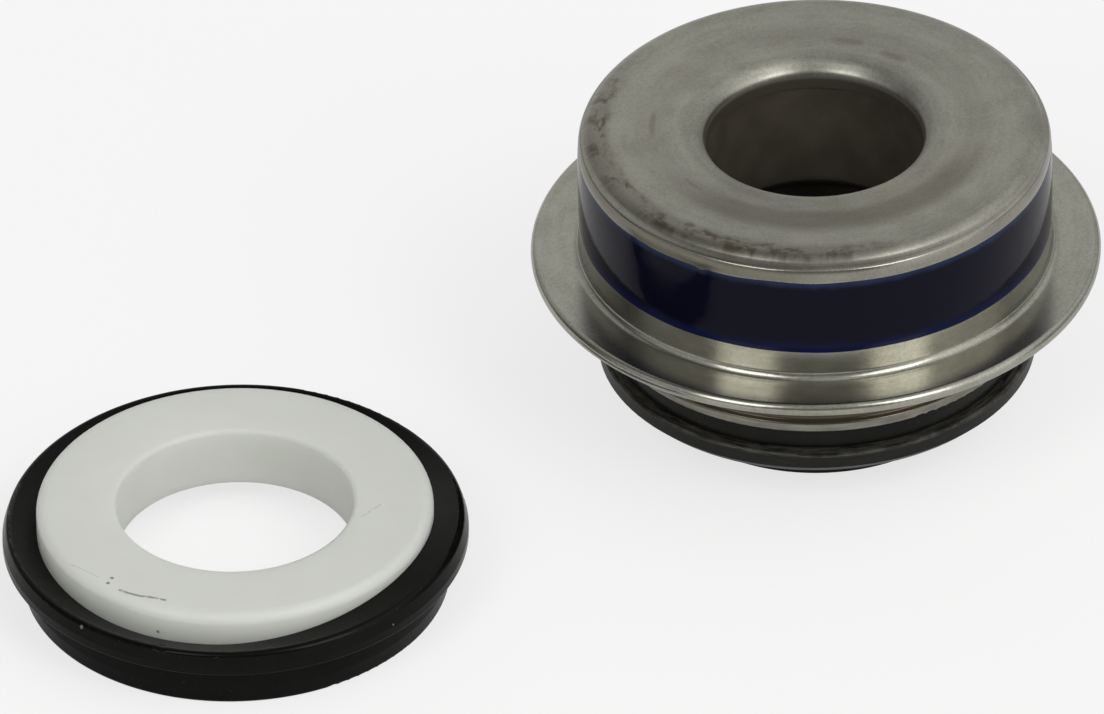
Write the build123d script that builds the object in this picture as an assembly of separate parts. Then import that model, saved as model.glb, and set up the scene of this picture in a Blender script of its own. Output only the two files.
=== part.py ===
from build123d import *
from math import atan2, tan
import os

# Face seal for a small water pump: a spring-loaded seal head and its mating seat, set side by side.
# Millimetres, +Z up. The origin is on the head's axis, in the plane of the carbon sealing face.
# Every ring is turned about its own axis from corners given as (radius, height, corner radius).

HEAD_HEIGHT = 18.5         # sealing face to end face, with the nose fully out

# Pressed case
CASE_OD = 28.0             # press-fit diameter of the bare case
CASE_SHEET = 0.8           # sheet thickness of case and flange
CASE_HEIGHT = 9.1          # end face to flange underside
CASE_HOLE_D = 12.9         # shaft hole in the end wall
SHOULDER_INNER_R = 0.4     # inside bend between end wall and cylinder
LIP_INNER_R = 0.3          # inside bend of the turned-in lip round the hole
LIP_REACH = 0.9            # how far the lip stands below the inside of the end wall
FLANGE_OD = 33.8
FLANGE_ROOT_R = 0.5        # hollow bend between cylinder and flange
FLANGE_EDGE_FLAT = 0.04    # flat left between the two rounds of the flange edge

# Sealant coat on the case
SEALANT_COAT = 0.05        # thickness of the coat
SEALANT_TOP_MARGIN = 1.4   # bare steel between end face and coat
SEALANT_FOOT_MARGIN = 1.85  # bare steel between coat and flange

# Carbon ring
CARBON_BORE_D = 14.8
NOSE_OD = 18.9
NOSE_HEIGHT = 2.45
NOSE_ROOT_R = 0.3
CARBON_FLANGE_OD = 26.0
CARBON_FLANGE_THICKNESS = 1.48
CARBON_FLANGE_CHAMFER = 0.55
CARBON_HUB_HEIGHT = 3.0
CARBON_EDGE_R = 0.15       # broken edge on the turned corners

# Retainer ring
RETAINER_CLEARANCE = 0.35  # between its rim and the case bore, in which it slides
RETAINER_SHEET = 0.5
RETAINER_WEB = 3.2         # width of the flat web that carries the spring
RETAINER_BEND_R = 0.1      # inside bend between web and sleeve
RETAINER_RIM_FLARE = 0.25  # how far the lower rim stands out
RETAINER_RIM_HEIGHT = 0.6

# Rubber bellows
BELLOWS_WALL = 0.9
NECK_INSET = 0.2           # neck inside the edge of the shaft hole
NECK_DEPTH = 7.8           # narrowest place, below the end face
MOUTH_RECESS = 0.15        # mouth behind the edge of the shaft hole
NECK_FLARE = 0.5           # neck thickened where it runs into the rear collar
REAR_COLLAR_THICKNESS = 1.6
REAR_COLLAR_GRIP = 1.7     # width held by the clamp ring
FRONT_COLLAR_WALL = 1.46   # rubber between carbon hub and retainer
FRONT_COLLAR_TOP = 1.0     # rubber over the carbon hub
FRONT_BAND_HEIGHT = 1.5    # rubber showing between retainer and carbon flange
FRONT_BAND_INSET = 0.2     # rubber band inside the outer face of the retainer
CONE_FOOT_RISE = 0.4       # foot of the folding cone above the retainer web
RUBBER_CORNER_R = 0.25
RUBBER_BEND_R = 0.5        # soft bends of neck and cone

# Clamp ring
CLAMP_SHEET = 0.6
CLAMP_BEND_R = 0.2         # inside bend between web and rim
CLAMP_NECK_CLEARANCE = 0.65
CLAMP_RIM_CLEARANCE = 0.1  # between its rim and the bend of the case

# Spring
WIRE_D = 1.3
SPRING_CLEARANCE = 1.55    # between spring and case bore
CLOSED_TURNS = 0.75        # at each end, ground flat
ACTIVE_TURNS = 1.5
CLOSED_TURN_GAP = 0.05     # between a closed turn and the next

PIECE_GAP = 0.02           # between pieces that are pressed or clamped together

# Seat
SEAT_GAP = 8.6             # clear space between flange and seat as they stand
SEAT_HEIGHT = 5.5
CERAMIC_OD = 23.4
CERAMIC_BORE_D = 14.0
CERAMIC_THICKNESS = 3.75
CERAMIC_EDGE_R = 0.6       # rounded outer edge of the sealing face
CERAMIC_BORE_R = 0.25      # rounded edge of the bore in the sealing face
CERAMIC_CHAMFER = 0.2      # outer edge of the hidden face
CUP_WALL = 0.78            # rubber between ceramic and groove
CUP_FACE_DROP = 1.85       # rubber below the ceramic face where they meet
CUP_EDGE_RISE = 0.55       # outer edge of the rubber face above its inner edge
CUP_EDGE_INSET = 0.28      # outer edge of the rubber face inside the lip
CUP_EDGE_R = 0.3
CUP_LIP_REACH = 1.23       # lip beyond the bottom of the groove
CUP_LIP_DROP = 0.35        # top of the lip's land below the inner edge of the face
CUP_LIP_LAND = 0.55        # height of the land that seals
CUP_LIP_R = 0.1
CUP_LIP_SLOPE = 0.3        # rise of the lip's underside towards its edge
CUP_GROOVE_HEIGHT = 0.5    # straight bottom of the groove
CUP_GROOVE_R = 0.15
CUP_BASE_STEP = 0.2        # base outside the bottom of the groove
CUP_BASE_SLOPE = 0.9       # rise of the groove's lower side
CUP_FOOT_WIDTH = 1.3       # foot under the ceramic

# Radii that follow from the sizes above
case_r = CASE_OD / 2
case_bore_r = case_r - CASE_SHEET
hole_r = CASE_HOLE_D / 2
carbon_bore_r = CARBON_BORE_D / 2
retainer_rim_r = case_bore_r - RETAINER_CLEARANCE
retainer_r = retainer_rim_r - RETAINER_RIM_FLARE
retainer_sleeve_r = retainer_r - RETAINER_SHEET
retainer_bore_r = retainer_r - RETAINER_WEB
hub_r = retainer_sleeve_r - FRONT_COLLAR_WALL - 2 * PIECE_GAP
neck_r = hole_r - NECK_INSET
neck_outer_r = neck_r + BELLOWS_WALL
clamp_bore_r = neck_outer_r + NECK_FLARE + CLAMP_NECK_CLEARANCE
spring_r = case_bore_r - SPRING_CLEARANCE - WIRE_D / 2
ceramic_r = CERAMIC_OD / 2
cup_wall_r = ceramic_r + PIECE_GAP
cup_groove_r = cup_wall_r + CUP_WALL
cup_lip_r = cup_groove_r + CUP_LIP_REACH
seat_spacing = FLANGE_OD / 2 + SEAT_GAP + cup_lip_r

# Heights of the head, from the sealing face up
carbon_flange_top = NOSE_HEIGHT + CARBON_FLANGE_THICKNESS
hub_top = carbon_flange_top + CARBON_HUB_HEIGHT
retainer_web = hub_top + FRONT_COLLAR_TOP + 2 * PIECE_GAP
retainer_top = retainer_web + RETAINER_SHEET
retainer_bottom = carbon_flange_top + FRONT_BAND_HEIGHT
end_wall = HEAD_HEIGHT - CASE_SHEET
flange_bottom = HEAD_HEIGHT - CASE_HEIGHT
flange_top = flange_bottom + CASE_SHEET
lip_end = end_wall - LIP_REACH
clamp_top = end_wall - REAR_COLLAR_THICKNESS - 2 * PIECE_GAP
clamp_bottom = clamp_top - CLAMP_SHEET

# Heights of the seat
ceramic_bottom = SEAT_HEIGHT - CERAMIC_THICKNESS
cup_face = SEAT_HEIGHT - CUP_FACE_DROP


def turned(*corners):
    """Ring about the Z axis from a closed outline of (radius, height, corner radius) corners."""
    points = [(radius, height) for radius, height, _ in corners]
    roundings = [rounding for _, _, rounding in corners]
    outline = FilletPolyline(*points, radius=roundings, close=True)
    return revolve(Plane.XZ * make_face(outline), Axis.Z)


def case():
    """Drawn shell: end wall with a turned-in lip, press-fit cylinder and outer flange."""
    flange_r = FLANGE_OD / 2
    flange_edge_r = (CASE_SHEET - FLANGE_EDGE_FLAT) / 2
    return turned(
        (hole_r, lip_end, 0),
        (hole_r, HEAD_HEIGHT, LIP_INNER_R + CASE_SHEET),
        (case_r, HEAD_HEIGHT, SHOULDER_INNER_R + CASE_SHEET),
        (case_r, flange_top, FLANGE_ROOT_R),
        (flange_r, flange_top, flange_edge_r),
        (flange_r, flange_bottom, flange_edge_r),
        (case_bore_r, flange_bottom, FLANGE_ROOT_R + CASE_SHEET),
        (case_bore_r, end_wall, SHOULDER_INNER_R),
        (hole_r + CASE_SHEET, end_wall, LIP_INNER_R),
        (hole_r + CASE_SHEET, lip_end, 0),
    )


def sealant_band():
    """Thin coat on the press-fit cylinder."""
    top = HEAD_HEIGHT - SEALANT_TOP_MARGIN
    foot = flange_top + SEALANT_FOOT_MARGIN
    return turned(
        (case_r, foot, 0),
        (case_r + SEALANT_COAT, foot, 0),
        (case_r + SEALANT_COAT, top, 0),
        (case_r, top, 0),
    )


def clamp_ring():
    """Pressed ring that holds the rear collar of the bellows and seats the spring."""
    rim_r = case_bore_r - PIECE_GAP
    rim_top = end_wall - SHOULDER_INNER_R - CLAMP_RIM_CLEARANCE
    return turned(
        (clamp_bore_r, clamp_bottom, 0),
        (rim_r, clamp_bottom, CLAMP_BEND_R + CLAMP_SHEET),
        (rim_r, rim_top, 0),
        (rim_r - CLAMP_SHEET, rim_top, 0),
        (rim_r - CLAMP_SHEET, clamp_top, CLAMP_BEND_R),
        (clamp_bore_r, clamp_top, 0),
    )


def bellows():
    """Moulded bellows: rear collar, tapered neck, folding cone and front collar on the carbon hub."""
    mouth = lip_end - PIECE_GAP
    lip_r = hole_r + CASE_SHEET + PIECE_GAP
    rear_face = end_wall - PIECE_GAP
    rear_collar_r = clamp_bore_r + REAR_COLLAR_GRIP
    rear_collar_bottom = clamp_top + PIECE_GAP
    neck_height = HEAD_HEIGHT - NECK_DEPTH
    web_r = retainer_bore_r - PIECE_GAP
    cone_foot = retainer_top + CONE_FOOT_RISE
    front_face = retainer_web - PIECE_GAP
    sleeve_r = retainer_sleeve_r - PIECE_GAP
    band_r = retainer_r - FRONT_BAND_INSET
    band_top = retainer_bottom - PIECE_GAP
    band_bottom = carbon_flange_top + PIECE_GAP
    hub_seat_r = hub_r + PIECE_GAP
    hub_cover = hub_top + PIECE_GAP
    # The inner corners of neck and cone lie lower, so that the wall keeps its thickness round the bends.
    cone_angle = atan2(web_r - neck_outer_r, neck_height - cone_foot)
    bend_drop = BELLOWS_WALL * tan(cone_angle / 2)
    return turned(
        (hole_r + MOUTH_RECESS, mouth, RUBBER_CORNER_R),
        (lip_r, mouth, 0),
        (lip_r, rear_face, LIP_INNER_R + PIECE_GAP),
        (rear_collar_r, rear_face, RUBBER_CORNER_R),
        (rear_collar_r, rear_collar_bottom, 0),
        (neck_outer_r + NECK_FLARE, rear_collar_bottom, RUBBER_BEND_R),
        (neck_outer_r, neck_height, RUBBER_BEND_R),
        (web_r, cone_foot, RUBBER_BEND_R),
        (web_r, front_face, 0),
        (sleeve_r, front_face, RUBBER_CORNER_R),
        (sleeve_r, band_top, 0),
        (band_r, band_top, RUBBER_CORNER_R),
        (band_r, band_bottom, RUBBER_CORNER_R),
        (hub_seat_r, band_bottom, 0),
        (hub_seat_r, hub_cover, 0),
        (web_r - BELLOWS_WALL, hub_cover, 0),
        (web_r - BELLOWS_WALL, cone_foot - bend_drop, RUBBER_BEND_R),
        (neck_r, neck_height - bend_drop, RUBBER_BEND_R),
    )


def spring():
    """Coil spring of round wire with closed ends, ground flat on the clamp ring and the retainer."""
    height = clamp_bottom - retainer_top
    closed_pitch = WIRE_D + CLOSED_TURN_GAP
    closed_height = CLOSED_TURNS * closed_pitch
    active_height = height - 2 * closed_height
    lower = Helix(closed_pitch, closed_height, spring_r)
    active = Helix(active_height / ACTIVE_TURNS, active_height, spring_r)
    active_place = Pos(0, 0, closed_height) * Rot(0, 0, 360 * CLOSED_TURNS)
    upper_place = active_place * Pos(0, 0, active_height) * Rot(0, 0, 360 * ACTIVE_TURNS)
    coil = Wire([lower, active_place * active, upper_place * lower])
    section = Plane(coil @ 0, z_dir=coil % 0) * Circle(WIRE_D / 2)
    wire = sweep(section, path=coil, is_frenet=True)
    ground = Pos(0, 0, height / 2) * Cylinder(spring_r + WIRE_D, height - 2 * PIECE_GAP)
    return Pos(0, 0, retainer_top) * (wire & ground)


def retainer():
    """Drawn ring round the front collar: spring seat, sleeve and flared lower rim."""
    rim_top = retainer_bottom + RETAINER_RIM_HEIGHT
    rim_edge_r = RETAINER_RIM_HEIGHT / 3
    return turned(
        (retainer_bore_r, retainer_web, 0),
        (retainer_sleeve_r, retainer_web, RETAINER_BEND_R),
        (retainer_sleeve_r, retainer_bottom, 0),
        (retainer_rim_r, retainer_bottom, rim_edge_r),
        (retainer_rim_r, rim_top, rim_edge_r),
        (retainer_r, rim_top + RETAINER_RIM_FLARE, rim_edge_r),
        (retainer_r, retainer_top, RETAINER_BEND_R + RETAINER_SHEET),
        (retainer_bore_r, retainer_top, 0),
    )


def carbon_ring():
    """Turned carbon ring: sealing nose, flange with a chamfered lower edge, and hub."""
    flange_r = CARBON_FLANGE_OD / 2
    return turned(
        (carbon_bore_r, 0, 0),
        (NOSE_OD / 2, 0, CARBON_EDGE_R),
        (NOSE_OD / 2, NOSE_HEIGHT, NOSE_ROOT_R),
        (flange_r - CARBON_FLANGE_CHAMFER, NOSE_HEIGHT, 0),
        (flange_r, NOSE_HEIGHT + CARBON_FLANGE_CHAMFER, 0),
        (flange_r, carbon_flange_top, CARBON_EDGE_R),
        (hub_r, carbon_flange_top, 0),
        (hub_r, hub_top, CARBON_EDGE_R),
        (carbon_bore_r, hub_top, 0),
    )


def ceramic_ring():
    """Alumina mating ring with a lapped upper face."""
    bore_r = CERAMIC_BORE_D / 2
    return turned(
        (bore_r, ceramic_bottom, 0),
        (ceramic_r - CERAMIC_CHAMFER, ceramic_bottom, 0),
        (ceramic_r, ceramic_bottom + CERAMIC_CHAMFER, 0),
        (ceramic_r, SEAT_HEIGHT, CERAMIC_EDGE_R),
        (bore_r, SEAT_HEIGHT, CERAMIC_BORE_R),
    )


def rubber_cup():
    """Moulded cup: foot under the ceramic, face with a raised edge, sealing lip, groove and base."""
    foot_bore_r = ceramic_r - CUP_FOOT_WIDTH
    base_r = cup_groove_r + CUP_BASE_STEP
    edge_r = cup_lip_r - CUP_EDGE_INSET
    lip_top = cup_face - CUP_LIP_DROP
    lip_bottom = lip_top - CUP_LIP_LAND
    groove_top = lip_bottom - CUP_LIP_SLOPE
    groove_bottom = groove_top - CUP_GROOVE_HEIGHT
    floor = ceramic_bottom - PIECE_GAP
    return turned(
        (foot_bore_r, 0, RUBBER_CORNER_R),
        (base_r, 0, RUBBER_CORNER_R),
        (base_r, groove_bottom - CUP_BASE_SLOPE, CUP_LIP_R),
        (cup_groove_r, groove_bottom, CUP_GROOVE_R),
        (cup_groove_r, groove_top, CUP_GROOVE_R),
        (cup_lip_r, lip_bottom, CUP_LIP_R),
        (cup_lip_r, lip_top, CUP_LIP_R),
        (edge_r, cup_face + CUP_EDGE_RISE, CUP_EDGE_R),
        (cup_wall_r, cup_face, 0),
        (cup_wall_r, floor, 0),
        (foot_bore_r, floor, 0),
    )


def write(solid, node):
    """Write one piece to its own STEP file."""
    solid.label = node
    export_step(solid, f"parts/{node}.step")


os.makedirs("parts", exist_ok=True)
seat_place = Pos(-seat_spacing, 0, 0)
write(case(), "case")
write(sealant_band(), "sealant_band")
write(clamp_ring(), "clamp_ring")
write(bellows(), "bellows")
write(spring(), "spring")
write(retainer(), "retainer")
write(carbon_ring(), "carbon_ring")
write(seat_place * ceramic_ring(), "ceramic_ring")
write(seat_place * rubber_cup(), "rubber_cup")
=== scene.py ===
import math

import bmesh
import bpy
from mathutils import Matrix, Vector, noise


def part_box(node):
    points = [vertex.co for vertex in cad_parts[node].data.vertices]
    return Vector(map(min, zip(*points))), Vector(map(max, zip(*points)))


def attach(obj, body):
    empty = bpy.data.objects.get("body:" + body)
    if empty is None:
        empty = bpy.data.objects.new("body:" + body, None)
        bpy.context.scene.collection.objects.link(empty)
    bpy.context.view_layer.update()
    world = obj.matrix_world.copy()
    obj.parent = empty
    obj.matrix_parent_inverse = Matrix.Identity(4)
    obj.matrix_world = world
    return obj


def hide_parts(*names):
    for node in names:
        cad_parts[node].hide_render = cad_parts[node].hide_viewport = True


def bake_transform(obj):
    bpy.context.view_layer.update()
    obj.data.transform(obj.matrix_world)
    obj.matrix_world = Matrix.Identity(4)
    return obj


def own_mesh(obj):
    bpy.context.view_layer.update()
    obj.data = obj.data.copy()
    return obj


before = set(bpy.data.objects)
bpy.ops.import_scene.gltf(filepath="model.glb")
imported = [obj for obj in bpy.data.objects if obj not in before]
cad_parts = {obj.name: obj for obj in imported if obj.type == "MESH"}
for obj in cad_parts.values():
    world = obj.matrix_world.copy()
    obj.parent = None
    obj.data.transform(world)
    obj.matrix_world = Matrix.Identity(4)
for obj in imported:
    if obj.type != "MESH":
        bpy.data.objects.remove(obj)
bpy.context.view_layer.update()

# Face seal for a small pump: a flanged seal head standing on its carbon nose, and its seat beside it.
# Metres, +Z up. The head's axis is the Z axis, and the seat's axis stands beside it at SEAT_X.

MM = 0.001
SEAT_X = (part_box("ceramic_ring")[0].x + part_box("ceramic_ring")[1].x) / 2
SEAT_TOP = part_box("ceramic_ring")[1].z
HEAD_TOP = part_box("case")[1].z
COAT_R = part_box("sealant_band")[1].x
COAT_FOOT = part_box("sealant_band")[0].z
COAT_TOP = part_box("sealant_band")[1].z
RETAINER_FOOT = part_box("retainer")[0].z
CLAMP_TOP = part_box("clamp_ring")[1].z

COAT_THICKNESS = 0.05 * MM
CASE_R = COAT_R - COAT_THICKNESS
CARBON_LEDGE = 3.93 * MM     # height of the carbon's ledge round its hub
RETAINER_RIM = 0.60 * MM     # height of the rim at the retainer's foot

HEAD_AXIS = (0, 0, 0)
SEAT_AXIS = (SEAT_X, 0, 0)


# ---------------------------------------------------------------- camera

IMAGE_WIDTH = 1104                   # pixels
FOCAL_PIXELS = 25324
SENSOR = 36.0                        # millimetres
CLIP_START = 0.05
CLIP_END = 50
CAMERA_DISTANCE = 1.5
CAMERA_RISE = math.radians(35.2)     # above the horizon, seen from the head
CAMERA_TURN = math.radians(28.92)    # of the line of sight from +Y towards +X
AIM_TURN = math.radians(-0.737)      # the lens points past the head's axis by this much
AIM_PITCH = math.radians(35.51)
AIM_ROLL = math.radians(-1.13)
AIM_HEIGHT = 12.05 * MM              # point on the head's axis that the distance is measured from


def place_camera():
    """A long lens that looks down at the object."""
    data = bpy.data.cameras.new("camera")
    data.sensor_fit = "HORIZONTAL"
    data.sensor_width = SENSOR
    data.lens = FOCAL_PIXELS / IMAGE_WIDTH * SENSOR
    data.clip_start = CLIP_START
    data.clip_end = CLIP_END
    camera = bpy.data.objects.new("camera", data)
    bpy.context.scene.collection.objects.link(camera)
    level = CAMERA_DISTANCE * math.cos(CAMERA_RISE)
    stand = Vector((-math.sin(CAMERA_TURN) * level, -math.cos(CAMERA_TURN) * level,
                    AIM_HEIGHT + CAMERA_DISTANCE * math.sin(CAMERA_RISE)))
    turn = Matrix.Rotation(-(CAMERA_TURN + AIM_TURN), 4, "Z")
    tip = Matrix.Rotation(math.pi / 2 - AIM_PITCH, 4, "X")
    roll = Matrix.Rotation(AIM_ROLL, 4, "Z")
    camera.matrix_world = Matrix.Translation(stand) @ turn @ tip @ roll
    bpy.context.scene.camera = camera
    return camera


def view_direction(turn, rise):
    """Direction from the object, turned from the camera towards the picture's right, and raised. Degrees."""
    across = CAMERA_TURN - math.radians(turn) + math.pi
    flat = math.cos(math.radians(rise))
    return Vector((math.sin(across) * flat, math.cos(across) * flat, math.sin(math.radians(rise))))


def from_view(angle):
    """World angle of a direction given in degrees from the picture's right, counted towards the camera."""
    return -CAMERA_TURN - math.radians(angle)


# ---------------------------------------------------------------- node trees

MIX_COLORS = (6, 7)          # places of the two colours among the inputs of a Mix node
MIX_RESULT = 2               # and of the mixed colour among its outputs
RING_LEAN = 1.7              # in a pattern of rings, 1 mm up counts as this many millimetres outwards
SPOT_CORE = 0.4              # share of a spot's size that is at full strength
ARC_SOFTNESS = 0.8           # share of an arc's half angle over which it fades out


class Tree:
    """A node tree written as nested calls. A value is a number, a colour, a vector or a node's output."""

    def __init__(self, node_tree):
        self.node_tree = node_tree

    def node(self, kind, inputs=(), **settings):
        made = self.node_tree.nodes.new(kind)
        for key, value in settings.items():
            setattr(made, key, value)
        for slot, value in enumerate(inputs):
            self.put(made.inputs[slot], value)
        return made

    def put(self, socket, value):
        if isinstance(value, bpy.types.NodeSocket):
            self.node_tree.links.new(value, socket)
        else:
            socket.default_value = value

    def math(self, operation, *values):
        return self.node("ShaderNodeMath", values, operation=operation).outputs[0]

    def chain(self, operation, values):
        """The operation on the first two values, then on its result and the next value, and so on."""
        result = values[0]
        for value in values[1:]:
            result = self.math(operation, result, value)
        return result

    def plus(self, *values):
        return self.chain("ADD", values)

    def times(self, *values):
        return self.chain("MULTIPLY", values)

    def strongest(self, *values):
        return self.chain("MAXIMUM", values)

    def weighed(self, *pairs):
        """Sum of the values, each times its weight."""
        return self.plus(*(self.times(value, weight) for value, weight in pairs))

    def span(self, value, low, high, start=0.0, end=1.0):
        """start up to low, end from high on, and a smooth change between them."""
        made = self.node("ShaderNodeMapRange", interpolation_type="SMOOTHSTEP")
        for slot, given in zip(("Value", "From Min", "From Max", "To Min", "To Max"),
                               (value, low, high, start, end)):
            self.put(made.inputs[slot], given)
        return made.outputs["Result"]

    def band(self, value, centre, half, soft):
        """1 within half of centre, falling to 0 over soft."""
        off = self.math("ABSOLUTE", self.math("SUBTRACT", value, centre))
        return self.span(off, half, half + soft, 1.0, 0.0)


class Graph(Tree):
    """Node tree of one material of a piece that is round about this axis. Its lengths are in millimetres."""

    def __init__(self, name, axis=HEAD_AXIS):
        self.material = bpy.data.materials.new(name)
        self.material.use_nodes = True
        super().__init__(self.material.node_tree)
        self.shader = self.node_tree.nodes["Principled BSDF"]
        place = self.node("ShaderNodeTexCoord").outputs["Object"]
        moved = self.node("ShaderNodeVectorMath", [place, tuple(-value for value in axis)], operation="ADD")
        scaled = self.node("ShaderNodeVectorMath", [moved.outputs[0]], operation="SCALE")
        scaled.inputs["Scale"].default_value = 1 / MM
        self.place = scaled.outputs[0]
        apart = self.node("ShaderNodeSeparateXYZ", [self.place])
        self.x, self.y, self.height = apart.outputs
        self.radius = self.math("SQRT", self.plus(self.times(self.x, self.x), self.times(self.y, self.y)))

    def noise(self, size, detail=3.0, roughness=0.5, vector=None):
        """Noise with features of about this size."""
        made = self.node("ShaderNodeTexNoise", normalize=True)
        self.put(made.inputs["Vector"], self.place if vector is None else vector)
        made.inputs["Scale"].default_value = 1 / size
        made.inputs["Detail"].default_value = detail
        made.inputs["Roughness"].default_value = roughness
        return made.outputs["Fac"]

    def drawn_out(self, reach):
        """Coordinates for marks drawn out round the axis; a larger reach makes them shorter."""
        across = self.plus(self.radius, self.times(self.height, RING_LEAN))
        around = [self.times(self.math("DIVIDE", value, self.radius), reach) for value in (self.x, self.y)]
        return self.node("ShaderNodeCombineXYZ", [across, *around]).outputs[0]

    def side(self, angle, half_angle, soft=0.5):
        """1 round the axis near that angle, falling to 0 at half_angle from it. Degrees."""
        aim = math.radians(angle)
        ahead = self.plus(self.times(self.x, math.cos(aim)), self.times(self.y, math.sin(aim)))
        cosine = self.math("DIVIDE", ahead, self.radius)
        inner = half_angle * (1.0 - soft)
        return self.span(cosine, math.cos(math.radians(half_angle)), math.cos(math.radians(inner)))

    def arc(self, angle, radius, half_angle, half_width):
        """1 along an arc round the axis, fading at its ends and its two edges."""
        return self.times(self.side(angle, half_angle, ARC_SOFTNESS),
                          self.band(self.radius, radius, 0.0, half_width))

    def stroke(self, start, end, width):
        """1 along a short straight mark on a level face."""
        run = (end[0] - start[0], end[1] - start[1])
        length = math.hypot(*run)
        from_start = (self.math("SUBTRACT", self.x, start[0]), self.math("SUBTRACT", self.y, start[1]))
        along = self.weighed((from_start[0], run[0] / length), (from_start[1], run[1] / length))
        across = self.weighed((from_start[0], -run[1] / length), (from_start[1], run[0] / length))
        return self.times(self.band(along, length / 2, length / 2, width),
                          self.band(across, 0.0, 0.0, width))

    def spot(self, centre, size):
        """1 at a point of the surface, falling to 0 at this distance from it."""
        away = self.node("ShaderNodeVectorMath", [self.place, centre], operation="DISTANCE").outputs["Value"]
        return self.span(away, size * SPOT_CORE, size, 1.0, 0.0)

    def mix(self, share, first, second):
        """Colour that goes from first to second as share goes from 0 to 1."""
        made = self.node("ShaderNodeMix", data_type="RGBA")
        self.put(made.inputs["Factor"], share)
        for slot, color in zip(MIX_COLORS, (first, second)):
            if isinstance(color, tuple):
                color = (*color, 1.0)
            self.put(made.inputs[slot], color)
        return made.outputs[MIX_RESULT]

    def bump(self, height, distance, before=None):
        """Bump of a height field, where a step of 1 is this distance high, laid over the bump before."""
        made = self.node("ShaderNodeBump")
        made.inputs["Distance"].default_value = distance * MM
        self.put(made.inputs["Height"], height)
        if before is not None:
            self.put(made.inputs["Normal"], before)
        return made.outputs["Normal"]

    def finish(self, color, roughness, normal, **constants):
        self.put(self.shader.inputs["Base Color"], color)
        self.put(self.shader.inputs["Roughness"], roughness)
        self.put(self.shader.inputs["Normal"], normal)
        for name, value in constants.items():
            self.shader.inputs[name.replace("_", " ")].default_value = value
        return self.material


# ---------------------------------------------------------------- materials

# Places on the pieces are in millimetres here, from the piece's own axis and the floor, and angles are in
# degrees. A pair of radii or heights holds the two values between which one finish passes into the next, and
# a pair of colours holds the two that a finish varies between.

STEEL_LIGHT = (0.455, 0.447, 0.392)
STEEL_DARK = (0.335, 0.327, 0.280)
# colour of wear, and of painted shade on the near side and the near left
STEEL_WEAR_AND_SHADE = (0.155, 0.138, 0.106)
STEEL_DULL = (0.20, 0.19, 0.16)
STEEL_WARM = (0.42, 0.375, 0.32)

END_FACE_HEIGHT = (HEAD_TOP / MM - 0.7, HEAD_TOP / MM - 0.25)
END_FACE_CROWN = 0.0016      # bulge of the end face, mm for each mm of radius squared
WEAR_AND_SHADE_RING = (9.6, 0.4, 1.2)  # middle, half width and fade of a band of radii
MOUTH_SHADE_RING = (8.2, 0.2, 1.4)
SHOULDER_RING = (12.9, 0.35, 0.7)
MOUTH_EDGE = (7.0, 0.55, 0.6)
UPPER_WALL = (17.45, 0.25, 0.35)     # and of a band of heights
WALL_R = (13.4, 13.8)
NEAR_SIDE = (-107, 75)       # angle and half angle of the sides painted darker as shade
SHOULDER_SIDE = (-168, 84)
WALL_SIDE = (-172, 62)
WORN_ARCS = (                # angle, radius, half angle, half width
    (48, 9.05, 9, 0.7),
    (28, 8.6, 8, 0.6),
    (149, 9.6, 12, 0.4),
    (-169, 9.24, 9, 0.35),
    (-150, 9.8, 12, 0.4),
    (-121, 8.8, 9, 0.5),
    (-91, 9.67, 12, 0.5),
)
MOUTH_WALL_R = (6.55, 6.95)
MOUTH_WALL_HEIGHT = (17.35, 17.9)
FILM_BROWN = (0.085, 0.074, 0.055)
FILM_METALLIC = 0.25
WALL_ROUGHNESS = 0.17
END_FACE_ROUGHNESS = 0.29
MOUTH_ROUGHNESS = 0.15       # added on the rounded edge round the shaft hole


def wear_and_painted_shade(look, on_top):
    """Where the case is darker: rings and arcs of wear on the end face, the shoulder and the wall's top,
    with painted shade added on the near side and on the near left.
    """
    blotch = look.span(look.noise(0.75, 3.0, 0.65, look.drawn_out(7.0)), 0.44, 0.64)
    near = look.side(*NEAR_SIDE)
    # ring of wear, darker on the near side as painted shade
    ring_wear_and_shade = look.times(look.band(look.radius, *WEAR_AND_SHADE_RING), look.plus(0.16, look.times(near, 0.42)))
    # ring painted darker on the near side only, as shade
    mouth_shade_ring = look.times(look.band(look.radius, *MOUTH_SHADE_RING), near, 0.22)
    # shoulder band of wear, darker on the near left as painted shade
    shoulder = look.times(look.band(look.radius, *SHOULDER_RING),
                          look.plus(0.14, look.times(look.side(*SHOULDER_SIDE), 0.66)))
    blotched = look.times(shoulder, look.plus(0.55, look.times(blotch, 0.8)))
    arcs = look.strongest(*(look.arc(*place) for place in WORN_ARCS))
    marks = look.strongest(look.times(arcs, 0.5), ring_wear_and_shade, mouth_shade_ring, blotched)
    # wall's top: wear, darker on the near left as painted shade
    upper_wall = look.times(look.band(look.height, *UPPER_WALL), look.span(look.radius, *WALL_R),
                            look.plus(0.34, look.times(look.side(*WALL_SIDE), 0.38)))
    return look.strongest(look.times(on_top, look.math("MINIMUM", marks, 1.0)), upper_wall)


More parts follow.
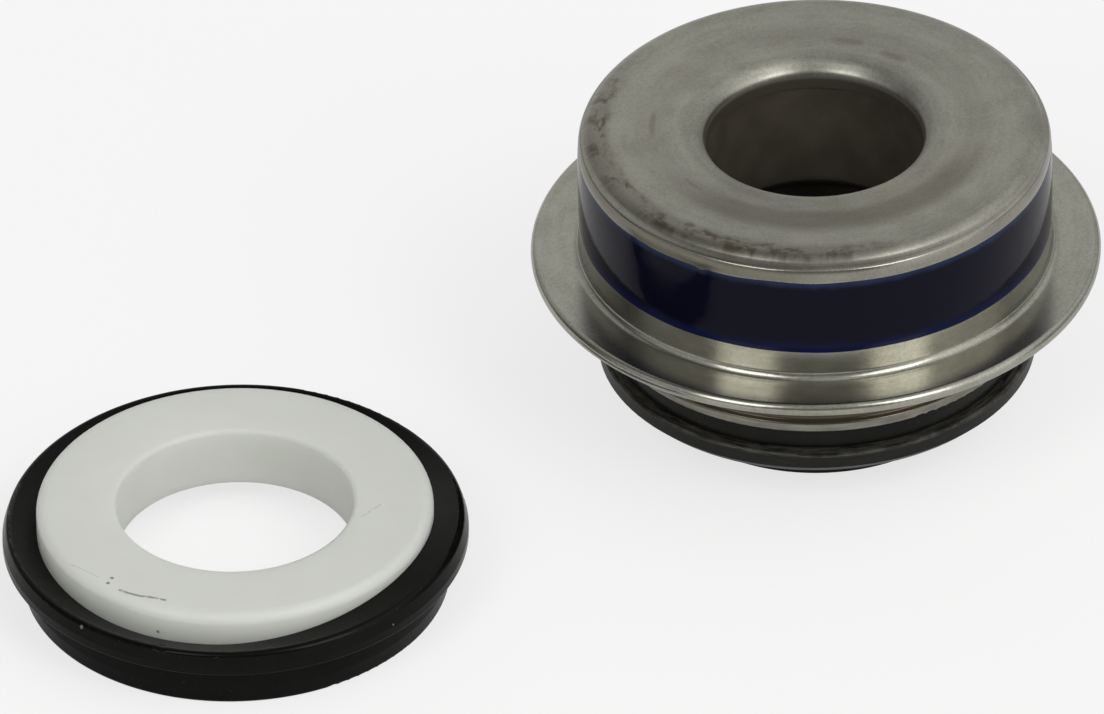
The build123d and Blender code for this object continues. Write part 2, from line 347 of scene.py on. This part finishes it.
def case_steel():
    """Drawn sheet, tumbled to a satin: fine even grain, faint rings and a brown film inside its mouth."""
    look = Graph("case_steel")
    grain = look.noise(0.10, 2.0, 0.6)
    speckle = look.noise(0.26, 2.0, 0.6)
    cloud = look.noise(2.6, 3.0, 0.5)
    rings = look.noise(0.45, 2.0, 0.5, look.drawn_out(2.2))
    tone = look.weighed((grain, 0.38), (speckle, 0.20), (cloud, 0.26), (rings, 0.16))
    color = look.mix(look.span(tone, 0.38, 0.60), STEEL_DARK, STEEL_LIGHT)
    on_top = look.span(look.height, *END_FACE_HEIGHT)
    # wear on the end face and the wall's top, with painted shade on the near side and the near left
    wear_and_shade = wear_and_painted_shade(look, on_top)
    color = look.mix(wear_and_shade, color, STEEL_WEAR_AND_SHADE)
    film = look.times(look.span(look.radius, *MOUTH_WALL_R, 1.0, 0.0),
                      look.span(look.height, *MOUTH_WALL_HEIGHT, 1.0, 0.0))
    color = look.mix(film, color, FILM_BROWN)
    look.put(look.shader.inputs["Metallic"], look.span(film, 0.0, 1.0, 1.0, FILM_METALLIC))
    on_mouth = look.band(look.radius, *MOUTH_EDGE)
    roughness = look.plus(look.span(on_top, 0.0, 1.0, WALL_ROUGHNESS, END_FACE_ROUGHNESS),
                          look.times(cloud, 0.06), look.times(wear_and_shade, 0.06),
                          look.times(on_mouth, MOUTH_ROUGHNESS))
    crown = look.times(look.radius, look.radius, -END_FACE_CROWN)
    relief = look.plus(look.times(rings, on_top, 0.5),
                       look.times(grain, look.plus(0.25, look.times(on_top, 0.75))))
    normal = look.bump(look.times(crown, on_top), 1.0, before=look.bump(relief, 0.006))
    tangent = look.node("ShaderNodeTangent", direction_type="RADIAL", axis="Z").outputs[0]
    look.put(look.shader.inputs["Tangent"], tangent)
    return look.finish(color, roughness, normal, Anisotropic=0.60, Anisotropic_Rotation=0.25)


# dark brown painted as the shade under the case's flange
SHADE_BROWN = (0.085, 0.068, 0.048)


def inner_steel(name, shade_foot):
    """Drawn sheet: smooth, with faint rings, and painted dark brown above the given height, as the shade
    under the case's flange.
    """
    look = Graph(name)
    cloud = look.noise(1.6, 3.0, 0.5)
    rings = look.noise(0.35, 2.0, 0.5, look.drawn_out(2.0))
    tone = look.weighed((cloud, 0.5), (rings, 0.5))
    color = look.mix(look.span(tone, 0.3, 0.7), STEEL_DULL, STEEL_DARK)
    # painted shade above the given height, with a wavy edge
    painted_shade = look.span(look.plus(look.height, look.times(cloud, 0.12)), shade_foot, shade_foot + 0.15)
    color = look.mix(look.times(painted_shade, 0.92), color, SHADE_BROWN)
    roughness = look.plus(0.20, look.times(cloud, 0.08))
    return look.finish(color, roughness, look.bump(rings, 0.002), Metallic=1.0)


def spring_steel():
    """Drawn wire with faint draw marks."""
    look = Graph("spring_steel")
    grain = look.noise(0.2, 3.0, 0.6)
    marks = look.noise(0.12, 2.0, 0.6, look.drawn_out(1.5))
    tone = look.weighed((grain, 0.5), (marks, 0.5))
    color = look.mix(look.span(tone, 0.3, 0.7), STEEL_DARK, STEEL_WARM)
    roughness = look.plus(0.24, look.times(grain, 0.14))
    return look.finish(color, roughness, look.bump(marks, 0.006), Metallic=1.0)


COAT_DARK = (0.0045, 0.0042, 0.013)
COAT_FOOT_BLUE = (0.005, 0.0085, 0.048)
COAT_TOP_BLUE = (0.021, 0.031, 0.074)
COAT_FOOT_HEIGHT = (COAT_FOOT / MM + 0.1, COAT_FOOT / MM + 0.95)
COAT_TOP_HEIGHT = (COAT_TOP / MM - 0.55, COAT_TOP / MM - 0.05)
# near black painted as the shade inside the pit
PIT_SHADE_BLACK = (0.001, 0.001, 0.003)
PIT_PLACE = (7.02, -12.17, 14.95)
PIT_SIZE = 0.35


def sealant():
    """Glossy coat, bluer where it thins out at its edges, with one pit painted near black as its shade."""
    look = Graph("sealant")
    ripple = look.noise(1.6, 2.0, 0.5)
    level = look.plus(look.height, look.times(look.math("SUBTRACT", ripple, 0.5), 0.5))
    color = look.mix(look.span(level, *COAT_FOOT_HEIGHT, 1.0, 0.0), COAT_DARK, COAT_FOOT_BLUE)
    color = look.mix(look.span(level, *COAT_TOP_HEIGHT), color, COAT_TOP_BLUE)
    color = look.mix(look.spot(PIT_PLACE, PIT_SIZE), color, PIT_SHADE_BLACK)
    normal = look.bump(look.plus(ripple, look.times(look.noise(0.5, 2.0), 0.15)), 0.012)
    roughness = look.plus(0.07, look.times(look.noise(2.5, 2.0), 0.05))
    return look.finish(color, roughness, normal, Specular_IOR_Level=0.09)


BELLOWS_BLACK = ((0.0085, 0.0085, 0.0065), (0.013, 0.0125, 0.0105))
BELLOWS_BROWN = ((0.066, 0.057, 0.043), (0.086, 0.076, 0.058))
BELLOWS_BORE_HEIGHT = (6.6, 7.4)
DUST_GREY = (0.22, 0.21, 0.19)


def bellows_rubber():
    """Moulded rubber: a brownish dull bore, and a glossy black band below the retainer."""
    look = Graph("bellows_rubber")
    cloud = look.noise(2.2, 3.0, 0.5)
    grain = look.noise(0.15, 2.0, 0.5)
    dust = look.span(look.noise(0.22, 1.0, 0.4), 0.74, 0.80)
    bore = look.span(look.height, *BELLOWS_BORE_HEIGHT)
    outside = look.mix(look.span(cloud, 0.3, 0.7), *BELLOWS_BLACK)
    inside = look.mix(look.span(cloud, 0.3, 0.7), *BELLOWS_BROWN)
    color = look.mix(look.times(dust, 0.10), look.mix(bore, outside, inside), DUST_GREY)
    normal = look.bump(grain, 0.003, before=look.bump(cloud, 0.02))
    roughness = look.plus(0.17, look.times(bore, 0.2), look.times(cloud, 0.08))
    return look.finish(color, roughness, normal, Specular_IOR_Level=0.13)


CUP_BLACK = ((0.0022, 0.0024, 0.0019), (0.0036, 0.0038, 0.0031))
SPECK_GREY = (0.20, 0.20, 0.18)
# darker black painted as the shade in the dent
DENT_SHADE_BLACK = (0.001, 0.001, 0.001)
CUP_FACE_HEIGHT = (3.3, 3.6)
CUP_LIP_R = (12.9, 13.3)
SPECKS = (                   # place and size
    ((-12.7, -4.65, 3.85), 0.16),
    ((0.93, -12.44, 3.85), 0.09),
    ((3.36, -13.3, 3.6), 0.09),
)
DENT_PLACE = (-9.67, -8.93, 3.85)
DENT_SIZE = 0.38


def cup_rubber():
    """Moulded black rubber, glossy on its lip, with a few specks, and a dent painted darker as its shade."""
    look = Graph("cup_rubber", SEAT_AXIS)
    cloud = look.noise(2.2, 3.0, 0.5)
    grain = look.noise(0.14, 2.0, 0.5)
    dust = look.span(look.noise(0.2, 1.0, 0.4), 0.76, 0.82)
    on_face = look.span(look.height, *CUP_FACE_HEIGHT)
    lip = look.span(look.radius, *CUP_LIP_R)
    specks = look.strongest(*(look.spot(*speck) for speck in SPECKS), look.times(dust, 0.14))
    dent = look.spot(DENT_PLACE, DENT_SIZE)
    color = look.mix(look.span(cloud, 0.3, 0.7), *CUP_BLACK)
    color = look.mix(specks, color, SPECK_GREY)
    color = look.mix(dent, color, DENT_SHADE_BLACK)
    normal = look.bump(look.weighed((grain, 0.003), (cloud, 0.02), (dent, -0.08)), 1.0)
    roughness = look.plus(0.20, look.times(on_face, 0.06), look.times(lip, -0.10), look.times(cloud, 0.06),
                          look.times(specks, 0.4))
    return look.finish(color, roughness, normal, Specular_IOR_Level=0.12)


CARBON_BLACK = ((0.009, 0.0095, 0.0078), (0.020, 0.020, 0.017))
# lighter tone painted on the upward ledge as the light falling on it
CARBON_LEDGE_LIGHT = (0.105, 0.100, 0.085)
CARBON_LEDGE_HEIGHT = (CARBON_LEDGE / MM - 0.25, CARBON_LEDGE / MM - 0.1)


def carbon():
    """Turned carbon: fine rings, a painted light tone on the ledge round the hub, and a soft, slightly
    greasy sheen.
    """
    look = Graph("carbon")
    grain = look.noise(0.09, 3.0, 0.6)
    rings = look.noise(0.16, 3.0, 0.65, look.drawn_out(1.2))
    cloud = look.noise(2.0, 3.0, 0.6)
    share = look.span(look.weighed((rings, 0.6), (cloud, 0.25), (grain, 0.15)), 0.36, 0.66)
    # the ledge, where the painted light goes
    ledge = look.span(look.height, *CARBON_LEDGE_HEIGHT)
    color = look.mix(look.times(ledge, share), look.mix(share, *CARBON_BLACK), CARBON_LEDGE_LIGHT)
    normal = look.bump(look.plus(rings, look.times(grain, 0.4)), 0.009)
    return look.finish(color, look.plus(0.26, look.times(cloud, 0.12)), normal, Specular_IOR_Level=0.20)


CERAMIC_WHITE = ((0.772, 0.790, 0.737), (0.795, 0.809, 0.763))
SCUFF_GREY = (0.16, 0.15, 0.13)
SEAT_FACE_HEIGHT = (SEAT_TOP / MM - 0.15, SEAT_TOP / MM - 0.03)
SCRATCH_CORNERS = ((-10.07, -4.55), (-9.80, -5.05), (-9.34, -5.67), (-8.88, -6.05), (-8.26, -6.75))
SCRATCH_WIDTH = 0.15
FAINT_SCRATCHES = (          # start, end, width
    ((-11.5, -0.35), (-10.57, -2.76), 0.09),
    ((5.7, -5.2), (7.2, -4.7), 0.12),
)
DOT_PLACES = ((-10.35, -3.59, 5.5), (-9.91, -3.26, 5.5))
DOT_SIZE = 0.16
WALL_MARK_PLACE = (-9.10, -7.36, 3.9)
WALL_MARK_SIZE = 0.14


def ceramic():
    """Sintered alumina: nearly white and slightly translucent, with a few scuffs on the lapped face."""
    look = Graph("ceramic", SEAT_AXIS)
    cloud = look.noise(3.5, 3.0, 0.5)
    grain = look.noise(0.1, 2.0, 0.6)
    color = look.mix(look.span(cloud, 0.3, 0.7), *CERAMIC_WHITE)
    on_face = look.span(look.height, *SEAT_FACE_HEIGHT)
    runs = zip(SCRATCH_CORNERS, SCRATCH_CORNERS[1:])
    scratches = look.strongest(*(look.stroke(start, end, SCRATCH_WIDTH) for start, end in runs))
    broken = look.span(look.noise(0.3, 2.0), 0.34, 0.52)
    faint = look.strongest(*(look.stroke(*scratch) for scratch in FAINT_SCRATCHES))
    dots = look.strongest(*(look.spot(place, DOT_SIZE) for place in DOT_PLACES))
    face_marks = look.strongest(look.times(scratches, broken), dots, look.times(faint, broken, 0.25))
    marks = look.strongest(look.times(on_face, face_marks), look.spot(WALL_MARK_PLACE, WALL_MARK_SIZE))
    color = look.mix(look.times(marks, 0.85), color, SCUFF_GREY)
    return look.finish(color, look.plus(0.30, look.times(cloud, 0.10)), look.bump(grain, 0.002),
                       Specular_IOR_Level=0.30, Subsurface_Weight=0.6, Subsurface_Scale=0.003,
                       Subsurface_Radius=(1.0, 1.0, 1.0))


def dress(object_, material):
    """Give an object one material on every slot."""
    slots = object_.data.materials
    if not slots:
        slots.append(material)
    for place in range(len(slots)):
        slots[place] = material


STEEL = case_steel()
RETAINER_STEEL = inner_steel("retainer_steel", (RETAINER_FOOT + RETAINER_RIM) / MM)
CLAMP_STEEL = inner_steel("clamp_steel", CLAMP_TOP / MM)
SPRING_STEEL = spring_steel()
SEALANT = sealant()
BELLOWS_RUBBER = bellows_rubber()
CUP_RUBBER = cup_rubber()
CARBON = carbon()
CERAMIC = ceramic()


# ---------------------------------------------------------------- pieces made again, warped or thinned out

SHARP_ANGLE = 32             # degrees; faces that turn less than this from one to the next are shaded as one
RING_STEPS = 720             # steps round the axis in a ring made here
POINTS_MEET = 0.0001 * MM    # points of the CAD mesh nearer than this are one
SEAM_REACH = 0.001 * MM


def link(name, mesh, material):
    """A new object of the scene in one material."""
    piece = bpy.data.objects.new(name, mesh)
    bpy.context.scene.collection.objects.link(piece)
    dress(piece, material)
    return piece


def stand_in(node, name, material):
    """A copy of a CAD piece, shown in its place, that may bend or warp."""
    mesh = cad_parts[node].data.copy()
    piece = link(name, mesh, material)
    mesh.shade_smooth()
    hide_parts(node)
    return piece


def level_cuts(mesh, heights):
    """Add rings of points at these heights, so that a straight wall can bend."""
    work = bmesh.new()
    work.from_mesh(mesh)
    for height in heights:
        parts = list(work.verts) + list(work.edges) + list(work.faces)
        bmesh.ops.bisect_plane(work, geom=parts, plane_co=(0, 0, height), plane_no=(0, 0, 1))
    work.to_mesh(mesh)
    work.free()
    mesh.shade_smooth()
    mesh.set_sharp_from_angle(angle=math.radians(SHARP_ANGLE))


def ring_mesh(name, profiles):
    """Closed ring through profiles, evenly spaced round the axis. Each is a loop of (radius, height)."""
    steps = len(profiles)
    rows = len(profiles[0])
    points = []
    faces = []
    for step, profile in enumerate(profiles):
        angle = 2 * math.pi * step / steps
        out = (math.cos(angle), math.sin(angle))
        points += [(radius * out[0], radius * out[1], height) for radius, height in profile]
        here = step * rows
        there = (step + 1) % steps * rows
        for row in range(rows):
            following = (row + 1) % rows
            faces.append((here + row, there + row, there + following, here + following))
    mesh = bpy.data.meshes.new(name)
    mesh.from_pydata(points, [], faces)
    mesh.shade_smooth()
    return mesh


def turned_normals(mesh):
    """Shading of a turned piece, even round its axis; a broad face keeps its direction up to its edges."""
    faces_at = [[] for _ in mesh.vertices]
    facing = []
    for face in mesh.polygons:
        reach = math.hypot(face.center.x, face.center.y)
        outward = (face.normal.x * face.center.x + face.normal.y * face.center.y) / reach
        facing.append((outward, face.normal.z, face.area))
        for vertex in face.vertices:
            faces_at[vertex].append(face.index)
    smooth_limit = math.cos(math.radians(SHARP_ANGLE))
    normals = [(0, 0, 1)] * len(mesh.loops)
    for face in mesh.polygons:
        own_out, own_up = facing[face.index][:2]
        for loop in face.loop_indices:
            vertex = mesh.loops[loop].vertex_index
            around = [facing[other] for other in faces_at[vertex]]
            alike = [each for each in around if each[0] * own_out + each[1] * own_up > smooth_limit]
            out = sum(outward * area for outward, upward, area in alike)
            up = sum(upward * area for outward, upward, area in alike)
            size = math.hypot(out, up)
            point = mesh.vertices[vertex].co
            reach = math.hypot(point.x, point.y)
            if size > 0 and reach > 0:
                normals[loop] = (point.x / reach * out / size, point.y / reach * out / size, up / size)
            else:
                normals[loop] = tuple(face.normal)
    mesh.normals_split_custom_set(normals)


def seam_outline(node):
    """Outline of a turned CAD piece, as (radius, height) in order, read along its seam on the +X side."""
    work = bmesh.new()
    work.from_mesh(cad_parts[node].data)
    bmesh.ops.remove_doubles(work, verts=work.verts, dist=POINTS_MEET)
    seam = {vertex for vertex in work.verts if abs(vertex.co.y) < SEAM_REACH and vertex.co.x > 0}
    here = min(seam, key=lambda vertex: (vertex.co.z, vertex.co.x))
    outline = []
    while here is not None:
        outline.append((here.co.x, here.co.z))
        seam.remove(here)
        beside = [edge.other_vert(here) for edge in here.link_edges]
        here = next((vertex for vertex in beside if vertex in seam), None)
    work.free()
    return outline


def turned_again(node, name, material, body):
    """A turned CAD piece again, in finer steps round its axis, so that its highlights run even."""
    mesh = ring_mesh(name, [seam_outline(node)] * RING_STEPS)
    work = bmesh.new()
    work.from_mesh(mesh)
    bmesh.ops.recalc_face_normals(work, faces=work.faces)
    work.to_mesh(mesh)
    work.free()
    turned_normals(mesh)
    piece = link(name, mesh, material)
    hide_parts(node)
    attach(piece, body)
    return piece


BEND_LOW = 8.5 * MM          # rings of points are added above this height
BEND_HIGH = 16.0 * MM        # and below this one
BEND_CUTS = 12


def build_bellows():
    """The bellows, with rings of points added between two heights."""
    piece = stand_in("bellows", "bellows_rubber", BELLOWS_RUBBER)
    step = (BEND_HIGH - BEND_LOW) / BEND_CUTS
    level_cuts(piece.data, [BEND_LOW + step * index for index in range(1, BEND_CUTS)])
    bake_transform(piece)
    return piece


def build_spring():
    """The spring, as a copy that rides with the case's body."""
    piece = stand_in("spring", "coil_spring", SPRING_STEEL)
    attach(piece, "case_body")
    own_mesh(piece)
    return piece


COAT_WALL_R = CASE_R + 0.003 * MM
COAT_ROWS = 26
COAT_FEATHER = 0.30          # share of the coat's height over which each edge thins out
COAT_EDGE = 0.12             # share of its thickness that is left at the very edge
EDGE_INSET = 0.05 * MM
EDGE_WANDER = 0.07 * MM
WANDER_REACH = 4.0           # radius of the circle through the noise that each edge follows
WANDER_APART = 7.0           # distance in the noise between the two edges
NICK_ANGLE = math.radians(-147.9)
NICK_HALF = math.radians(1.6)
NICK_DEPTH = 0.16 * MM


def coat_edges(angle):
    """Foot and top of the coat at that angle; both wander a little, and the top has one nick."""
    around = Vector((math.cos(angle), math.sin(angle), 0.0)) * WANDER_REACH
    wander = noise.noise(around) * EDGE_WANDER
    wander_top = noise.noise(around + Vector((0, 0, WANDER_APART))) * EDGE_WANDER
    away = abs((angle - NICK_ANGLE + math.pi) % (2 * math.pi) - math.pi)
    nick = NICK_DEPTH * max(0.0, 1.0 - away / NICK_HALF)
    return COAT_FOOT + EDGE_INSET + wander, COAT_TOP - EDGE_INSET + wander_top - nick


def coat_profile(angle):
    """Section of the coat at that angle, thinned out towards its foot and its top."""
    foot, top = coat_edges(angle)
    profile = [(COAT_WALL_R, foot)]
    for row in range(COAT_ROWS + 1):
        share = row / COAT_ROWS
        edge = min(1.0, min(share, 1 - share) / COAT_FEATHER)
        thickness = (COAT_R - COAT_WALL_R) * (COAT_EDGE + (1 - COAT_EDGE) * math.sqrt(edge))
        profile.append((COAT_WALL_R + thickness, foot + (top - foot) * share))
    profile.append((COAT_WALL_R, top))
    return profile


def build_coat():
    """The sealant, as a thin band on the case."""
    angles = [2 * math.pi * step / RING_STEPS for step in range(RING_STEPS)]
    mesh = ring_mesh("sealant_coat", [coat_profile(angle) for angle in angles])
    mesh.set_sharp_from_angle(angle=math.radians(SHARP_ANGLE))
    piece = link("sealant_coat", mesh, SEALANT)
    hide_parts("sealant_band")
    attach(piece, "case_body")
    return piece


CUP_WALL_R = 11.72 * MM      # inside of the cup, on the ceramic
CUP_BASE_R = 12.7 * MM
CUP_CUTS = (0.5 * MM, 0.8 * MM, 1.5 * MM)
LIFT_FULL = 3.0 * MM         # the cup is lifted in full above this height
SWELL_WIDTH = 1.9 * MM       # reach of the swelling from the ceramic over the cup's face
SWELL_RISE = 0.6 * MM        # height above LIFT_FULL at which it is full
DRAW_HEIGHT = 1.6 * MM       # the base is drawn in below this height
CUP_NEAR_RIGHT = (22, 75)    # view angle and half angle of a side of the cup, as nearness takes them
CUP_NEAR_LEFT = (118, 50)
CUP_FAR = (-90, 80)
CUP_NEAR = (100, 70)
RIGHT_LIFT = 0.22 * MM
RIGHT_SWELL = 0.80 * MM
LEFT_SINK = 0.22 * MM
FAR_LIFT = 0.18 * MM
BASE_DRAW = 0.14 * MM


def nearness(angle, centre, half):
    """1 at the view angle centre, falling smoothly to 0 at half degrees from it."""
    off = abs((angle - from_view(centre) + math.pi) % (2 * math.pi) - math.pi) / math.radians(half)
    return 0.0 if off >= 1 else (1 + math.cos(math.pi * off)) / 2


def warp_cup(point):
    """The cup sits a little askew: its face stands higher at the near right, and its base is drawn in."""
    x = point.x - SEAT_X
    angle = math.atan2(point.y, x)
    radius = math.hypot(x, point.y)
    height = point.z
    up = min(1.0, height / LIFT_FULL)
    above = min(1.0, max(0.0, (height - LIFT_FULL) / SWELL_RISE))
    inner = max(0.0, 1 - (radius - CUP_WALL_R) / SWELL_WIDTH) * above
    near_right = nearness(angle, *CUP_NEAR_RIGHT)
    lift = up * (near_right * RIGHT_LIFT + nearness(angle, *CUP_FAR) * FAR_LIFT)
    lift += inner * (near_right * RIGHT_SWELL - nearness(angle, *CUP_NEAR_LEFT) * LEFT_SINK)
    outer = min(1.0, max(0.0, (radius - CUP_WALL_R) / (CUP_BASE_R - CUP_WALL_R)))
    low = max(0.0, 1 - height / DRAW_HEIGHT)
    drawn_in = BASE_DRAW * outer * low * (1.0 - nearness(angle, *CUP_NEAR))
    scale = (radius - drawn_in) / radius
    return Vector((SEAT_X + x * scale, point.y * scale, height + lift))


def build_cup():
    """The seat's cup, a little askew."""
    piece = stand_in("rubber_cup", "seat_cup", CUP_RUBBER)
    level_cuts(piece.data, CUP_CUTS)
    for vertex in piece.data.vertices:
        vertex.co = warp_cup(vertex.co)
    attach(piece, "case_body")
    return piece


# ---------------------------------------------------------------- floor, world and lamps

FLOOR_HALF = 3.0
FLOOR_ALBEDO = (0.85, 0.85, 0.84, 1)
FLOOR_WHITE = (1, 1, 1, 1)
FLOOR_GLOW = 0.72            # share of plain white in the floor as it is seen; the rest takes the shadow
FLOOR_IN_GLOSS = 0.30        # how far metal and gloss show that floor instead of the floor as it is lit


def floor_material():
    """Pale and dull for the light that it throws on the object, and nearly plain white where it is seen."""
    material = bpy.data.materials.new("floor")
    material.use_nodes = True
    tree = Tree(material.node_tree)
    plain = material.node_tree.nodes["Principled BSDF"]
    plain.inputs["Roughness"].default_value = 1.0
    plain.inputs["Specular IOR Level"].default_value = 0.0
    plain.inputs["Base Color"].default_value = FLOOR_ALBEDO
    white = tree.node("ShaderNodeBsdfDiffuse", [FLOOR_WHITE]).outputs[0]
    glow = tree.node("ShaderNodeEmission").outputs[0]
    seen_floor = tree.node("ShaderNodeMixShader", [FLOOR_GLOW, white, glow]).outputs[0]
    path = tree.node("ShaderNodeLightPath").outputs
    in_gloss = tree.times(path["Is Glossy Ray"], FLOOR_IN_GLOSS)
    seen = tree.strongest(in_gloss, path["Is Camera Ray"], path["Is Transmission Ray"])
    either = tree.node("ShaderNodeMixShader", [seen, plain.outputs[0], seen_floor]).outputs[0]
    tree.put(material.node_tree.nodes["Material Output"].inputs["Surface"], either)
    return material


def build_floor():
    """A wide level floor under the object."""
    mesh = bpy.data.meshes.new("floor")
    corners = [(-1, -1), (1, -1), (1, 1), (-1, 1)]
    mesh.from_pydata([(x * FLOOR_HALF, y * FLOOR_HALF, 0) for x, y in corners], [], [(0, 1, 2, 3)])
    floor = link("floor", mesh, floor_material())
    return floor


STUDIO_COLOR = (1.0, 1.0, 0.985, 1)
STUDIO_BASE = 0.10
STUDIO_HORIZON = 0.90        # a thin pale line where the floor ends
HORIZON_RISE = (0.03, 0.08)  # sine of the angles above the horizon between which it fades
GLOW_HALF = (38, 14)         # a pale surface fades out between these angles from its middle, in degrees
PALE_SURFACES = (            # turn and rise in degrees, as for the lamps, and brightness
    (-150, 32, 0.32),
    (-60, 36, 0.36),
    (0, 36, 0.12),
    (0, 64, 0.23),
    (60, 8, 0.40),
    (60, 36, 0.66),
    (90, 64, 0.34),
    (120, 36, 0.33),
    (150, 32, 0.22),
    (180, 8, 0.16),
    (180, 36, 0.08),
)


def build_world():
    """A dim studio with a thin pale horizon and large soft pale surfaces round the object."""
    world = bpy.data.worlds.new("studio")
    bpy.context.scene.world = world
    world.use_nodes = True
    tree = Tree(world.node_tree)
    toward = tree.node("ShaderNodeTexCoord").outputs["Generated"]
    raised = tree.node("ShaderNodeSeparateXYZ", [toward]).outputs["Z"]
    light = tree.span(raised, *HORIZON_RISE, STUDIO_HORIZON, STUDIO_BASE)
    edge, core = (math.cos(math.radians(angle)) for angle in GLOW_HALF)
    for turn, rise, level in PALE_SURFACES:
        middle = view_direction(turn, rise)
        facing = tree.node("ShaderNodeVectorMath", [toward, middle], operation="DOT_PRODUCT")
        light = tree.plus(light, tree.span(facing.outputs["Value"], edge, core, 0.0, level))
    background = world.node_tree.nodes["Background"]
    tree.put(background.inputs["Strength"], light)
    background.inputs["Color"].default_value = STUDIO_COLOR
    return world


LAMP_RISE = 43               # degrees
LAMP_DISTANCE = 0.9
LAMP_WIDTH = 0.36
LAMP_HEIGHT = 0.5


def softbox(name, turn, glow):
    """Area lamp seen from the object in that direction; a glow of 1 is as bright as plain white."""
    data = bpy.data.lights.new(name, "AREA")
    data.shape = "RECTANGLE"
    data.size = LAMP_WIDTH
    data.size_y = LAMP_HEIGHT
    data.energy = glow * math.pi * LAMP_WIDTH * LAMP_HEIGHT
    away = view_direction(turn, LAMP_RISE)
    lamp = bpy.data.objects.new(name, data)
    bpy.context.scene.collection.objects.link(lamp)
    lamp.location = away * LAMP_DISTANCE
    lamp.rotation_euler = away.to_track_quat("Z", "Y").to_euler()
    return lamp


# ---------------------------------------------------------------- the scene

dress(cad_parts["clamp_ring"], CLAMP_STEEL)
dress(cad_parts["retainer"], RETAINER_STEEL)
dress(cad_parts["carbon_ring"], CARBON)
dress(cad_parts["ceramic_ring"], CERAMIC)

place_camera()
turned_again("case", "case_shell", STEEL, "case_body")
build_bellows()
build_spring()
build_coat()
build_cup()

build_floor()
build_world()
softbox("front_left", -35, 2.48)
softbox("front_right", 41, 2.53)

scene = bpy.context.scene
scene.view_settings.view_transform = "Standard"
